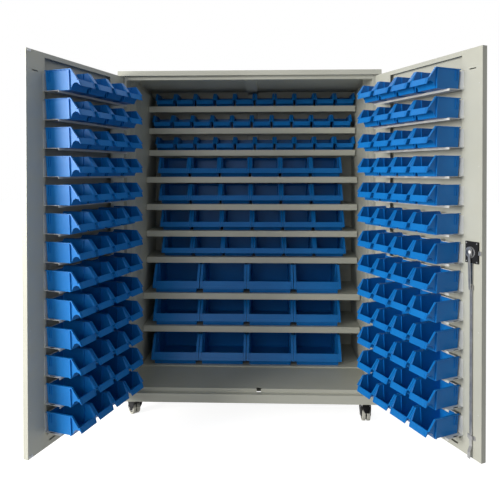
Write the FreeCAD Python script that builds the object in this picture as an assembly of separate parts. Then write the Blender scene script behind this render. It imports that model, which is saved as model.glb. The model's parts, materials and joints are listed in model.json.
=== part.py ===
"""Mobile parts bin cabinet: a steel cabinet on casters with two bin-carrying doors.

X runs to the right, Y to the back and Z up. The origin is on the floor, under the middle of
the closed cabinet. Both doors stand open, at the angles given by the two opening values.
"""
import FreeCAD, Part
import math
import os

V = FreeCAD.Vector
UP = V(0, 0, 1)
CENTRE = V(0, 0, 0)

# The whole cabinet
cabinet_width = 1450.0
cabinet_depth = 770.0
cabinet_height = 1948.0
sheet = 1.5
frame_sheet = 2.0
overrun = 2.0
fit_gap = 0.3
pin_clearance = 0.05
front = -cabinet_depth / 2
back = cabinet_depth / 2

# Heights from the floor up: the caster's own pieces add up to its height
wheel_radius = 36.0
wheel_room = 21.7
crown_height = 12.0
plate_height = 6.0
caster_height = wheel_radius * 2 + wheel_room + crown_height + fit_gap + plate_height
plinth_height = 48.0
sill_height = 20.0
cap_height = 27.0
header_drop = 18.0
plinth_top = caster_height + plinth_height
floor_top = plinth_top + sill_height
cap_bottom = cabinet_height - cap_height
ceiling = cabinet_height - frame_sheet
header_bottom = cap_bottom - header_drop

# Doors and their pivots
door_thickness = 25.0
door_sheet = 1.2
pivot_inset = 12.0
door_gap_below = 2.0
door_gap_above = 3.0
meeting_gap = 4.0
left_opening_angle = 107.5
right_opening_angle = 115.0
recess_from_hinge = 112.0
recess_from_edge = 111.0
recess_from_bottom = 54.0
recess_from_top = 21.0
slot_from_edge = 128.0
slot_length = 38.0
slot_height = 8.0
slot_above_bottom = 25.0
joint_slit_length = 35.0
joint_slit_height = 5.0
joint_slit_below_top = 88.0
pin_radius = 5.0
pin_engagement = 20.0
pivot_block_length = 30.0
pivot_block_height = 28.0
pivot_plate_height = 4.0
door_bottom = plinth_top + door_gap_below
door_top = cap_bottom - door_gap_above
door_height = door_top - door_bottom
hinge_x = cabinet_width / 2 - pivot_inset
hinge_y = front + door_thickness / 2
door_reach = hinge_x - meeting_gap / 2
inner_face = door_thickness / 2

# Body behind the doors
corner_swing = math.hypot(pivot_inset, door_thickness / 2)
swing_gap = 1.2
body_front = hinge_y + corner_swing + swing_gap
body_inset = 13.0
stile_width = 28.0
back_overhang = 3.5
body_half = cabinet_width / 2 - body_inset
inner_half = body_half - stile_width
body_back = back - back_overhang
back_face = body_back - sheet
liner_depth = 302.0
liner_end = body_front + liner_depth
liner_return = 12.0
bead_width = 14.0
bead_depth = 4.0
bead_places_share = (0.28, 0.62)
centre_band = 70.0
centre_band_height = 4.0
rear_line = back_face - centre_band_height
stiffener_height = 14.0
stiffener_flange = 12.0
header_return = 30.0
header_upstand = 20.0
sill_return = 14.0
plinth_lip = 25.0
corner_plate_x = 130.0
corner_plate_y = 140.0

# Perforated uprights inside the body
upright_gap = 2.0
upright_flange = 20.0
hole_width = 10.0
hole_height = 16.0
hole_edge = 14.0
hole_column_pitch = 284.0
hole_columns = 2
hole_pitch = 175.0
hole_first = 60.0

# Bins: each size's pitch is a share of the cabinet's width and its height a share of the
# clear height inside, as the rows fill both
bin_wall = 2.5
rim_share = 0.76
foot_share = 0.72
undercut_share = 0.88
side_taper = 11.0
rear_taper = 3.0
clear_height = header_bottom - floor_top


def bin_size(pitch_share, gap, depth, height_share, lip_top_share, lip_face_share):
    pitch = cabinet_width * pitch_share
    height = clear_height * height_share
    return dict(pitch=pitch, width=pitch - gap, depth=depth, height=height,
                lip_top=height * lip_top_share, lip_face=height * lip_face_share)


small_bin_gap = 2.3
medium_bin_gap = 1.5
large_bin_gap = 3.0
small_bin_depth = 188.0
medium_bin_depth = 265.0
large_bin_depth = 350.0
small_bin = bin_size(0.09124, small_bin_gap, small_bin_depth, 0.05223, 0.489, 0.311)
medium_bin = bin_size(0.13724, medium_bin_gap, medium_bin_depth, 0.07429, 0.438, 0.242)
large_bin = bin_size(0.20483, large_bin_gap, large_bin_depth, 0.09576, 0.485, 0.309)
hook_width = 50.0
hook_reach = 5.0
hook_drop = 10.0
hook_root = 4.0

# Shelves from the top down: deck heights as shares of the clear height, and row centres
shelf_lip = 37.0
shelf_lip_return = 12.0
shelf_rear_drop = 20.0
shelf_left_gap = 2.0
shelf_right_gap = 8.0
bin_setback = 6.0
small_shelf_depth = 210.0
medium_shelf_depth = 285.0
large_shelf_depth = 377.0
riser_depth = 418.0
riser_height = 7.5
deck_shares = (0.9533, 0.8700, 0.7858, 0.6834, 0.5810, 0.4811, 0.3825, 0.2594, 0.1393)
row_shift = (17.4, -2.6, 17.4, -14.0, -8.0, 2.0, 10.0, -31.0, -31.0, -31.0)
small_count = 10
medium_count = 6
large_count = 4
deck_heights = [floor_top + clear_height * share for share in deck_shares]
bracket_width = 30.0
bracket_height = 33.0
bracket_sheet = 2.0
bracket_chamfer = 24.0
bracket_setback = 14.0

# Bin rails on the doors
rail_count = 13
first_rim_below_top = 80.0
last_rim_above_bottom = 164.0
rail_pitch = (door_height - first_rim_below_top - last_rim_above_bottom) / (rail_count - 1)
door_bins_across = 4
rail_start_share = 0.121
rail_start = door_reach * rail_start_share
rail_end_from_edge = 99.0
rail_end = door_reach - rail_end_from_edge
rail_ledge = 82.0
rail_lip = 10.0
rail_below_rim = 8.0
left_bins_share = 0.1181
right_bins_share = 0.1027
left_bins_start = door_reach * left_bins_share
right_bins_start = door_reach * right_bins_share
bin_off_rail = 0.5

# Lock of the right door, measured from the free edge and the floor
lock_from_edge = 14.0
lock_width = 67.0
lock_right = door_reach - lock_from_edge
lock_left = lock_right - lock_width
lock_bottom = 1000.0
lock_top = 1092.0
lock_rise = 9.0
lock_depth = 20.0
lock_margin = 4.0
spindle_from_edge = 54.0
spindle_u = door_reach - spindle_from_edge
spindle_z = 1046.0
spindle_radius = 6.0
cam_width = 28.0
cam_height = 43.0
cam_corner_share = 0.3
cam_thickness = 6.0
lever_length = 120.0
lever_width = 22.0
lever_tip_share = 0.7
lever_thickness = 10.0
lever_standoff = 14.0
rosette_width = 40.0
rosette_height = 56.0
rosette_thickness = 5.0
bolt_height = 17.0
bolt_thickness = 4.0
bolt_setback = 2.0
bolt_length = 43.0
bolt_inner = door_reach - bolt_setback - bolt_length
bolt_level = 3.0
bolt_travel = 20.0
rod_from_edge = 52.0
rod_centre = door_reach - rod_from_edge
rod_width = 14.0
rod_thickness = 3.0
rod_level = 3.0
rod_joggle = 11.0
rod_joggle_height = 22.0
rod_joggle_from_end = 37.0
rod_end_above_plinth = 3.5
rod_travel = 18.0
rod_grip = 30.0
coupler_height = 20.0
coupler_width = 22.0
coupler_from_lock = 105.0
guide_from_end = 89.0
guide_foot = 12.0
guide_length = 18.0
keeper_width = 25.0
keeper_depth = 20.0

# Casters: two braked swivel casters in front, two fixed ones behind
wheel_width = 45.0
axle_radius = 4.0
caster_from_side = 75.0
caster_x = cabinet_width / 2 - caster_from_side
caster_front = 85.0
caster_back = 85.0
caster_trail = 25.0
plate_x = 100.0
plate_y = 86.0
crown_half = 22.0
kingpin_radius = 8.0
hood_reach = 27.0
hood_side_share = 0.72
cheek = 3.0
cheek_gap = 2.0
pedal_width = 38.0
pedal_length = 46.0
pedal_thickness = 5.0
pedal_pin_radius = 3.0
pedal_root = 6.0
pedal_slope_angle = 24.0
left_swivel_angle = -140.0
right_swivel_angle = 0.0


def box(x0, x1, y0, y1, z0, z1):
    return Part.makeBox(x1 - x0, y1 - y0, z1 - z0, V(x0, y0, z0))


def cylinder(radius, start, run):
    return Part.makeCylinder(radius, run.Length, start, run)


def extruded(points, run):
    return Part.Face(Part.makePolygon(points + points[:1])).extrude(run)


def along_x(outline, x0, x1):
    return extruded([V(x0, y, z) for y, z in outline], V(x1 - x0, 0, 0))


def along_y(outline, y0, y1):
    return extruded([V(x, y0, z) for x, z in outline], V(0, y1 - y0, 0))


def along_z(outline, z0, z1):
    return extruded([V(x, y, z0) for x, y in outline], V(0, 0, z1 - z0))


def folded(line, thickness):
    """Outline of a sheet folded along a line, with its thickness on the line's left."""
    steps = [V(b[0] - a[0], b[1] - a[1], 0).normalize() for a, b in zip(line, line[1:])]
    lefts = [V(-step.y, step.x, 0) for step in steps]
    before = lefts[:1] + lefts
    after = lefts + lefts[-1:]
    inner = []
    for (x, y), one, two in zip(line, before, after):
        shift = (one + two) * (thickness / (1 + one.dot(two)))
        inner.append((x + shift.x, y + shift.y))
    return list(line) + inner[::-1]


def mirrored(shape):
    return shape.mirror(CENTRE, V(1, 0, 0))


def moved(shape, x, y, z):
    copy = shape.copy()
    copy.translate(V(x, y, z))
    return copy


def group(solids):
    return Part.makeCompound(solids)


def on_door(shape, side):
    """Turn a piece made on the closed door, about the pivot line, to the door's place."""
    opening = right_opening_angle if side > 0 else left_opening_angle
    copy = shape.copy()
    copy.rotate(CENTRE, UP, side * opening)
    copy.translate(V(side * hinge_x, hinge_y, 0))
    return copy


def door_box(side, u0, u1, n0, n1, z0, z1):
    """Box on a closed door: u from the pivot line, n inward from the door's inner face."""
    xs = sorted((-side * u0, -side * u1))
    return box(xs[0], xs[1], inner_face + n0, inner_face + n1, z0, z1)


def door_u(side, u):
    return -side * u


def top_cap():
    half = cabinet_width / 2
    skin = box(-half, half, front, back, cap_bottom, cabinet_height)
    hollow = box(-half + frame_sheet, half - frame_sheet, front + frame_sheet,
                 back - frame_sheet, cap_bottom - overrun, ceiling)
    return skin.cut(hollow)


def roof_stiffener():
    half = centre_band / 2
    line = [(-half - stiffener_flange, ceiling), (-half, ceiling),
            (-half, ceiling - stiffener_height), (half, ceiling - stiffener_height),
            (half, ceiling), (half + stiffener_flange, ceiling)]
    outline = folded([(x, z - sheet) for x, z in line], sheet)
    return along_y(outline, body_front + header_return + sheet, rear_line)


def side_wall():
    """Right side: outer skin, front stile and beaded liner from one folded sheet."""
    line = [(body_half, body_back), (body_half, body_front), (inner_half, body_front)]
    for share in bead_places_share:
        middle = body_front + liner_depth * share
        line += [(inner_half, middle - bead_width / 2),
                 (inner_half + bead_depth, middle - bead_depth / 2),
                 (inner_half + bead_depth, middle + bead_depth / 2),
                 (inner_half, middle + bead_width / 2)]
    line += [(inner_half, liner_end), (inner_half + liner_return, liner_end)]
    outline = folded([(-x, y) for x, y in line], sheet)
    return mirrored(along_z(outline, plinth_top, ceiling))


def back_panel():
    half = centre_band / 2
    edge = body_half - sheet
    slope = centre_band_height
    line = [(-edge, back_face), (-half - slope, back_face),
            (-half, rear_line), (half, rear_line),
            (half + slope, back_face), (edge, back_face)]
    return along_z(folded(line, sheet), plinth_top, ceiling)


def keeper_box(bottom, top, y0):
    """Clear way for the rod's end, at its place when the right door is shut."""
    x = hinge_x - rod_centre
    rod_y = hinge_y + inner_face + rod_level + rod_joggle
    start = rod_y - keeper_depth / 4 if y0 is None else y0
    return box(x - keeper_width / 2, x + keeper_width / 2, start, rod_y + keeper_depth / 2, bottom, top)


def header_rail():
    line = [(body_front, ceiling), (body_front, header_bottom),
            (body_front + header_return, header_bottom),
            (body_front + header_return, header_bottom + header_upstand)]
    return along_x(folded(line, sheet), -inner_half, inner_half)


def floor_panel():
    line = [(rear_line, plinth_top), (rear_line, floor_top), (body_front, floor_top),
            (body_front, plinth_top), (body_front + sill_return, plinth_top)]
    panel = along_x(folded(line, sheet), -inner_half, inner_half)
    return panel.cut(keeper_box(plinth_top - overrun, floor_top + overrun, body_front - overrun))


def plinth():
    half = cabinet_width / 2
    wall = frame_sheet
    base = box(-half, half, front, back, caster_height, plinth_top)
    hollow = box(-half + wall, half - wall, front + wall, back - wall,
                 caster_height + wall, plinth_top - wall)
    long_way = box(-half + corner_plate_x, half - corner_plate_x, front + plinth_lip,
                   back - plinth_lip, caster_height - overrun, caster_height + wall + overrun)
    short_way = box(-half + plinth_lip, half - plinth_lip, front + corner_plate_y,
                    back - corner_plate_y, caster_height - overrun, caster_height + wall + overrun)
    base = base.cut(hollow).cut(long_way).cut(short_way)
    return base.cut(keeper_box(plinth_top - wall - overrun, plinth_top + overrun, None))


def upright():
    """Right perforated upright that carries the shelf brackets."""
    start = liner_end + upright_gap
    line = [(inner_half + upright_flange, start), (inner_half, start),
            (inner_half, back_face), (inner_half + upright_flange, back_face)]
    outline = folded([(-x, y) for x, y in line], sheet)
    plate = mirrored(along_z(outline, floor_top, header_bottom))
    rows = int((header_bottom - floor_top - hole_first) / hole_pitch) + 1
    holes = []
    for column in range(hole_columns):
        y = start + hole_edge + column * hole_column_pitch
        for row in range(rows):
            z = floor_top + hole_first + row * hole_pitch
            holes.append(box(inner_half - overrun, inner_half + sheet + overrun,
                             y - hole_width / 2, y + hole_width / 2,
                             z - hole_height / 2, z + hole_height / 2))
    return plate.cut(group(holes))


def shelf_front(depth):
    return rear_line - depth


def shelf(deck, depth):
    start = shelf_front(depth)
    line = [(rear_line, deck - shelf_rear_drop), (rear_line, deck), (start, deck),
            (start, deck - shelf_lip), (start + shelf_lip_return, deck - shelf_lip)]
    return along_x(folded(line, sheet), -inner_half + shelf_left_gap, inner_half - shelf_right_gap)


def bracket(deck, depth):
    """Right bracket: an angle under the shelf's end, against the upright."""
    top = deck - sheet
    start = shelf_front(depth) + bracket_setback
    end = rear_line - sheet - fit_gap
    line = [(inner_half - bracket_width, top), (inner_half, top), (inner_half, top - bracket_height)]
    angle = along_y(folded(line, -bracket_sheet), start, end)
    corner = [(start - overrun, top - bracket_height - overrun),
              (start + bracket_chamfer, top - bracket_height - overrun),
              (start - overrun, top - bracket_height + bracket_chamfer)]
    return angle.cut(along_x(corner, inner_half - bracket_sheet - overrun, inner_half + overrun))


def floor_tray():
    start = shelf_front(riser_depth)
    top = floor_top + riser_height
    line = [(rear_line, floor_top), (rear_line, top), (start, top), (start, floor_top)]
    return along_x(folded(line, sheet), -inner_half + shelf_left_gap, inner_half - shelf_right_gap)


def tapered(size, outline, wall):
    """Solid with a side outline in y and z, whose sides draw in towards the base."""
    half = size["width"] / 2
    foot = half - side_taper
    slope = side_taper / size["height"]
    low = -overrun * 2
    high = size["height"] + overrun * 2
    section = [(-foot - low * slope + wall, low), (foot + low * slope - wall, low),
               (half + (high - size["height"]) * slope - wall, high),
               (-half - (high - size["height"]) * slope + wall, high)]
    cheeks = along_y(section, -overrun * 2, size["depth"] + overrun * 2)
    return along_x(outline, -half - overrun, half + overrun).common(cheeks)


def open_bin(size, hooked):
    """Open-front bin, rear wall at y = 0, front towards -y, base at z = 0."""
    depth = size["depth"]
    height = size["height"]
    lip_top = size["lip_top"]
    lip_bottom = lip_top - size["lip_face"]
    rim = depth * rim_share
    foot = depth * foot_share
    under = depth * undercut_share
    under_height = (lip_bottom + lip_top) / 2
    outer = [(rear_taper, 0), (0, height), (rim, height), (depth, lip_top), (depth, lip_bottom),
             (under, under_height), (foot, 0)]
    rise = (height - lip_top) / (depth - rim)
    throat = under + bin_wall
    above = overrun
    inner = [(rear_taper + bin_wall, bin_wall), (bin_wall, height + above), (rim - above / rise, height + above),
             (throat, lip_top + (depth - throat) * rise + above), (foot - bin_wall, bin_wall)]
    shell = tapered(size, outer, 0).cut(tapered(size, inner, bin_wall))
    if hooked:
        hook = [(bin_wall / 2, height), (bin_wall / 2, height - hook_root), (-hook_reach, height - hook_drop)]
        shell = shell.fuse(along_x(hook, -hook_width / 2, hook_width / 2)).removeSplitter()
    shell.rotate(CENTRE, UP, 180)
    return shell.Solids[0]


def bin_row(size, count, centre, deck, depth):
    """Row of like bins on a shelf, lips just behind the shelf's front."""
    shape = open_bin(size, False)
    y = shelf_front(depth) + bin_setback + size["depth"]
    first = centre - size["pitch"] * (count - 1) / 2
    return group([moved(shape, first + size["pitch"] * place, y, deck) for place in range(count)])


def rim_height(row):
    return door_top - first_rim_below_top - row * rail_pitch


def door(side):
    """Folded door: skin, edges and inner returns around an open recess."""
    top = door_top
    bottom = door_bottom
    depth = door_thickness
    wall = door_sheet
    reach = door_reach
    panel = door_box(side, -pivot_inset, reach, -depth, 0, bottom, top)
    hollow = door_box(side, -pivot_inset + wall, reach - wall, -depth + wall, -wall,
                      bottom + wall, top - wall)
    window = door_box(side, recess_from_hinge, reach - recess_from_edge, -wall - overrun, overrun,
                      bottom + recess_from_bottom, top - recess_from_top)
    slot_end = reach - slot_from_edge
    slot_middle = bottom + slot_above_bottom
    slot = door_box(side, slot_end - slot_length, slot_end, -wall - overrun, overrun,
                    slot_middle - slot_height / 2, slot_middle + slot_height / 2)
    slit_z = top - joint_slit_below_top
    slit = door_box(side, rod_centre - joint_slit_length / 2, rod_centre + joint_slit_length / 2,
                    -wall - overrun, overrun, slit_z - joint_slit_height / 2, slit_z + joint_slit_height / 2)
    panel = panel.cut(hollow).cut(group([window, slot, slit]))
    block_half = pivot_inset - wall / 2
    for z0, z1 in ((bottom, bottom + pivot_block_height), (top - pivot_block_height, top)):
        panel = panel.fuse(door_box(side, -block_half, pivot_block_length - block_half,
                                    -depth + wall / 2, -wall / 2, z0, z1))
    bore = pin_radius + pin_clearance
    for z, run in ((bottom, pin_engagement + fit_gap), (top, -pin_engagement - fit_gap)):
        panel = panel.cut(cylinder(bore, V(0, 0, z), V(0, 0, run)))
    if side > 0:
        seat = door_box(side, lock_left + lock_margin - fit_gap, lock_right - lock_margin + fit_gap,
                        -wall - overrun, overrun, lock_bottom + lock_margin - fit_gap,
                        lock_top - lock_margin + fit_gap)
        way = V(door_u(side, spindle_u), inner_face + overrun, spindle_z)
        hole = cylinder(spindle_radius + pin_clearance, way, V(0, -depth - overrun * 2, 0))
        panel = panel.cut(seat).cut(hole)
    return on_door(panel.removeSplitter(), side)


def hinge_pins():
    """Pivot plates with their pins, on the plinth and under the cap."""
    solids = []
    for side in (-1, 1):
        x = side * hinge_x
        inner = side * inner_half
        outer = side * (cabinet_width / 2 - frame_sheet - fit_gap)
        for start, thick, gap in ((plinth_top, door_gap_below, 0), (cap_bottom + pivot_plate_height,
                                                                   -pivot_plate_height, door_gap_above)):
            way = math.copysign(1, thick)
            plate = box(min(inner, outer), max(inner, outer), front + frame_sheet + fit_gap, body_front,
                        min(start, start + thick), max(start, start + thick))
            pin = cylinder(pin_radius, V(x, hinge_y, start), V(0, 0, thick + way * (gap + pin_engagement)))
            solids.append(plate.fuse(pin).removeSplitter())
    return group(solids)


def bin_rails(side):
    """Angle rails across the door's recess, with a ledge and a turned-down front lip."""
    height = small_bin["height"]
    rails = []
    for row in range(rail_count):
        rim = rim_height(row)
        ledge = rim - height
        line = [(inner_face, rim - rail_below_rim), (inner_face, ledge - sheet),
                (inner_face + rail_ledge, ledge - sheet), (inner_face + rail_ledge, ledge - rail_lip)]
        outline = folded(line, sheet)
        xs = sorted((door_u(side, rail_start), door_u(side, rail_end)))
        rails.append(on_door(along_x(outline, xs[0], xs[1]), side))
    return group(rails)


def door_bins(side, column):
    """One column of hooked bins, one bin on each rail."""
    start = right_bins_start if side > 0 else left_bins_start
    u = start + small_bin["pitch"] * column + small_bin["width"] / 2
    shape = open_bin(small_bin, True)
    shape.rotate(CENTRE, UP, 180)
    bins = []
    for row in range(rail_count):
        base = rim_height(row) - small_bin["height"]
        bins.append(on_door(moved(shape, door_u(side, u), inner_face + sheet + bin_off_rail, base), side))
    return group(bins)


def lock_case():
    """Lock case of the right door, with ways for the spindle, rod and bolt."""
    side = 1
    case = door_box(side, lock_left, lock_right, 0, lock_rise, lock_bottom, lock_top)
    case = case.fuse(door_box(side, lock_left + lock_margin, lock_right - lock_margin, -lock_depth,
                              overrun, lock_bottom + lock_margin, lock_top - lock_margin))
    gap = fit_gap
    half = rod_width / 2 + gap
    case = case.cut(door_box(side, rod_centre - half, rod_centre + half, rod_level - gap,
                             rod_level + rod_thickness + gap, lock_bottom - overrun,
                             lock_bottom + rod_grip + gap))
    case = case.cut(door_box(side, bolt_inner - gap, lock_right + overrun, bolt_level - gap,
                             bolt_level + bolt_thickness + gap, spindle_z - bolt_height / 2 - gap,
                             spindle_z + bolt_height / 2 + gap))
    way = V(door_u(side, spindle_u), inner_face + lock_rise + overrun, spindle_z)
    case = case.cut(cylinder(spindle_radius + pin_clearance, way, V(0, -lock_rise - lock_depth - overrun * 2, 0)))
    return on_door(case.removeSplitter(), side)


def handle():
    """Outside lever, its rosette and the spindle through the door."""
    side = 1
    outer_face = inner_face - door_thickness
    x = door_u(side, spindle_u)
    end = V(x, inner_face + lock_rise + fit_gap, spindle_z)
    rosette_back = outer_face - fit_gap
    lever_top = rosette_back - lever_standoff
    shape = cylinder(spindle_radius, end, V(0, lever_top - end.y, 0))
    wide = rosette_width / 2
    tall = rosette_height / 2
    shape = shape.fuse(box(x - wide, x + wide, rosette_back - rosette_thickness, rosette_back,
                           spindle_z - tall, spindle_z + tall))
    half = lever_width / 2
    tip = half * lever_tip_share
    lever = along_y([(x - half, spindle_z - half), (x + half, spindle_z - half), (x + lever_length, spindle_z - tip),
                     (x + lever_length, spindle_z + tip), (x + half, spindle_z + half), (x - half, spindle_z + half)],
                    lever_top - lever_thickness, lever_top)
    return on_door(shape.fuse(lever).removeSplitter(), side)


def cam():
    """Long cam with sloped corners on the spindle's inner end."""
    side = 1
    x = door_u(side, spindle_u)
    y = inner_face + lock_rise + fit_gap
    half = cam_width / 2
    tall = cam_height / 2
    corner = cam_width * cam_corner_share
    outline = [(half, tall - corner), (half - corner, tall), (corner - half, tall), (-half, tall - corner),
               (-half, corner - tall), (corner - half, -tall), (half - corner, -tall), (half, corner - tall)]
    return on_door(along_y([(x + dx, spindle_z + dz) for dx, dz in outline], y, y + cam_thickness), side)


def latch_bolt():
    side = 1
    return on_door(door_box(side, bolt_inner, door_reach - bolt_setback, bolt_level,
                            bolt_level + bolt_thickness, spindle_z - bolt_height / 2,
                            spindle_z + bolt_height / 2), side)


def rod_lower():
    """Flat rod from the lock to the door's lower end, joggled inward near its tip."""
    side = 1
    top = lock_bottom + rod_grip
    end = plinth_top + rod_end_above_plinth
    low = inner_face + rod_level
    bend = end + rod_joggle_from_end
    line = [(low, top), (low, bend + rod_joggle_height / 2),
            (low + rod_joggle, bend - rod_joggle_height / 2), (low + rod_joggle, end)]
    xs = sorted((door_u(side, rod_centre - rod_width / 2), door_u(side, rod_centre + rod_width / 2)))
    shape = along_x(folded(line, rod_thickness), xs[0], xs[1])
    middle = lock_bottom - coupler_from_lock
    half = coupler_width / 2
    joint = door_box(side, rod_centre - half, rod_centre + half, rod_level, rod_level + rod_thickness * 2,
                     middle - coupler_height / 2, middle + coupler_height / 2)
    return on_door(shape.fuse(joint).removeSplitter(), side)


def rod_guides():
    """Saddle bracket that holds the rod to the door's stile near its foot."""
    side = 1
    half = rod_width / 2 + sheet + fit_gap * 4
    top = rod_level + rod_thickness + fit_gap * 2
    line = [(-half - guide_foot, 0), (-half, 0), (-half, top), (half, top), (half, 0), (half + guide_foot, 0)]
    outline = folded([(door_u(side, rod_centre) + x, inner_face + n) for x, n in line], sheet)
    z = door_bottom + guide_from_end
    return on_door(along_z(outline, z - guide_length / 2, z + guide_length / 2), side)


def fork_half():
    return wheel_width / 2 + cheek_gap + cheek


def nose():
    """Front end of the caster's hood, in front of the axle."""
    return -caster_trail - hood_reach


def fork(top, swivels):
    """Caster fork at the origin, under its top height, with its wheel towards -y."""
    half = fork_half()
    hood_top = top - crown_height if swivels else top
    side_low = wheel_radius - axle_radius * 2
    side_high = wheel_radius * 2 * hood_side_share
    outline = [(hood_reach, hood_top), (hood_reach, wheel_radius * 2), (-axle_radius * 2, side_low),
               (-caster_trail - axle_radius * 4, side_low), (nose(), side_high), (nose(), hood_top)]
    shape = along_x(outline, -half, half)
    gap = half - cheek
    shape = shape.cut(box(-gap, gap, nose() - overrun, hood_reach - cheek, 0, hood_top - cheek))
    if swivels:
        y, z = pedal_axis()
        shape = shape.cut(box(-gap, gap, nose() - overrun, y + pedal_root * 1.5, 0, hood_top + overrun))
        shape = shape.fuse(box(-crown_half, crown_half, -crown_half, crown_half, hood_top, top))
        shape = shape.fuse(cylinder(pedal_pin_radius, V(-half, y, z), V(half * 2, 0, 0)))
        shape = shape.cut(cylinder(kingpin_radius + pin_clearance, V(0, 0, hood_top - crown_height),
                                   V(0, 0, crown_height * 3)))
    axle = cylinder(axle_radius, V(-half, -caster_trail, wheel_radius), V(half * 2, 0, 0))
    return shape.fuse(axle).removeSplitter()


def swivel_top():
    return caster_height - plate_height - fit_gap


def swivelled(shape, side):
    """Piece of a front caster, turned about its kingpin to where the caster was left."""
    angle = right_swivel_angle if side > 0 else left_swivel_angle
    shape.rotate(V(side * caster_x, front + caster_front, 0), UP, angle)
    return shape


def caster_fork(side):
    return swivelled(moved(fork(swivel_top(), True), side * caster_x, front + caster_front, 0), side)


def caster_mounts():
    """Front swivel plates with kingpins, and rear plates with fixed forks."""
    solids = []
    plate = box(-plate_x / 2, plate_x / 2, -plate_y / 2, plate_y / 2, caster_height - plate_height,
                caster_height)
    pin_end = swivel_top() - crown_height + fit_gap
    pinned = plate.fuse(cylinder(kingpin_radius, V(0, 0, pin_end), V(0, 0, caster_height - pin_end)))
    fixed = plate.fuse(fork(caster_height - plate_height, False))
    fixed.rotate(CENTRE, UP, 180)
    for side in (-1, 1):
        solids.append(moved(pinned.removeSplitter(), side * caster_x, front + caster_front, 0))
        solids.append(moved(fixed.removeSplitter(), side * caster_x, back - caster_back, 0))
    return group(solids)


def wheel():
    half = wheel_width / 2
    solid = cylinder(wheel_radius, V(-half, 0, 0), V(wheel_width, 0, 0))
    return solid.cut(cylinder(axle_radius + pin_clearance, V(-half - overrun, 0, 0),
                              V(wheel_width + overrun * 2, 0, 0)))


def caster_wheel(side, at_front):
    if at_front:
        y = front + caster_front - caster_trail
        return swivelled(moved(wheel(), side * caster_x, y, wheel_radius), side)
    return moved(wheel(), side * caster_x, back - caster_back + caster_trail, wheel_radius)


def pedal_axis():
    hood_top = swivel_top() - crown_height
    return nose() + pedal_root * 1.3, hood_top - pedal_root * 1.2


def brake_pedal(side):
    """Sloping foot pedal, thick at its root, on a cross pin at the front of the fork."""
    y, z = pedal_axis()
    half = pedal_width / 2
    root = pedal_root
    tip = pedal_thickness / 2
    shape = along_x([(root, -root), (root, root), (-root, root), (-pedal_length, tip),
                     (-pedal_length, -tip), (-root, -root)], -half, half)
    shape.rotate(CENTRE, V(1, 0, 0), pedal_slope_angle)
    shape = shape.cut(cylinder(pedal_pin_radius + pin_clearance, V(-half - overrun, 0, 0),
                               V(half * 2 + overrun * 2, 0, 0)))
    return swivelled(moved(shape, side * caster_x, front + caster_front + y, z), side)


def shelf_rows():
    """Each row's bin, count and shelf depth, from the top down."""
    rows = [(small_bin, small_count, small_shelf_depth)] * 3
    rows += [(medium_bin, medium_count, medium_shelf_depth)] * 4
    rows += [(large_bin, large_count, large_shelf_depth)] * 2
    rows += [(large_bin, large_count, riser_depth)]
    return rows


def build():
    nodes = {
        "top_cap": top_cap(),
        "roof_stiffener": roof_stiffener(),
        "side_right": side_wall(),
        "side_left": mirrored(side_wall()),
        "back_panel": back_panel(),
        "header_rail": header_rail(),
        "floor_panel": floor_panel(),
        "plinth": plinth(),
        "floor_tray": floor_tray(),
        "upright_right": upright(),
        "upright_left": mirrored(upright()),
        "hinge_pins": hinge_pins(),
        "lock_case": lock_case(),
        "handle": handle(),
        "cam": cam(),
        "latch_bolt": latch_bolt(),
        "rod_lower": rod_lower(),
        "rod_guides": rod_guides(),
        "caster_mounts": caster_mounts(),
    }
    decks = deck_heights + [floor_top + riser_height]
    brackets = []
    for number, (deck, (size, count, depth)) in enumerate(zip(decks, shelf_rows()), 1):
        centre = row_shift[number - 1]
        nodes[f"bins_row_{number:02d}"] = bin_row(size, count, centre, deck, depth)
        if number <= len(deck_heights):
            nodes[f"shelf_{number}"] = shelf(deck, depth)
            brackets += [bracket(deck, depth), mirrored(bracket(deck, depth))]
    nodes["shelf_brackets"] = group(brackets)
    for side, name in ((-1, "left"), (1, "right")):
        nodes[f"door_{name}"] = door(side)
        nodes[f"bin_rails_{name}"] = bin_rails(side)
        for column in range(door_bins_across):
            nodes[f"door_bins_{name}_{column + 1}"] = door_bins(side, column)
        nodes[f"caster_fork_{name}"] = caster_fork(side)
        nodes[f"brake_pedal_{name}"] = brake_pedal(side)
        nodes[f"caster_wheel_front_{name}"] = caster_wheel(side, True)
        nodes[f"caster_wheel_rear_{name}"] = caster_wheel(side, False)
    return nodes


def main():
    os.makedirs("parts", exist_ok=True)
    nodes = build()
    for name, shape in sorted(nodes.items()):
        shape.exportStep(f"parts/{name}.step")
        print(name, len(shape.Solids), round(shape.Volume), shape.isValid())
    print(len(nodes), "nodes")


main()
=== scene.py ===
# %% [markdown]
# # A parts bin cabinet with two bin doors
#
# The sheet steel body, doors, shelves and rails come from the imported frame, true to size.
# This lesson gives them their finishes, moulds the three sizes of plastic bin that hang and
# stand in the cabinet, and adds the wheels, rivets and screws that a maker would fit.

# %% Start from the frame
import json
import math
import random

import bmesh
import bpy
from mathutils import Matrix, Vector


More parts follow.
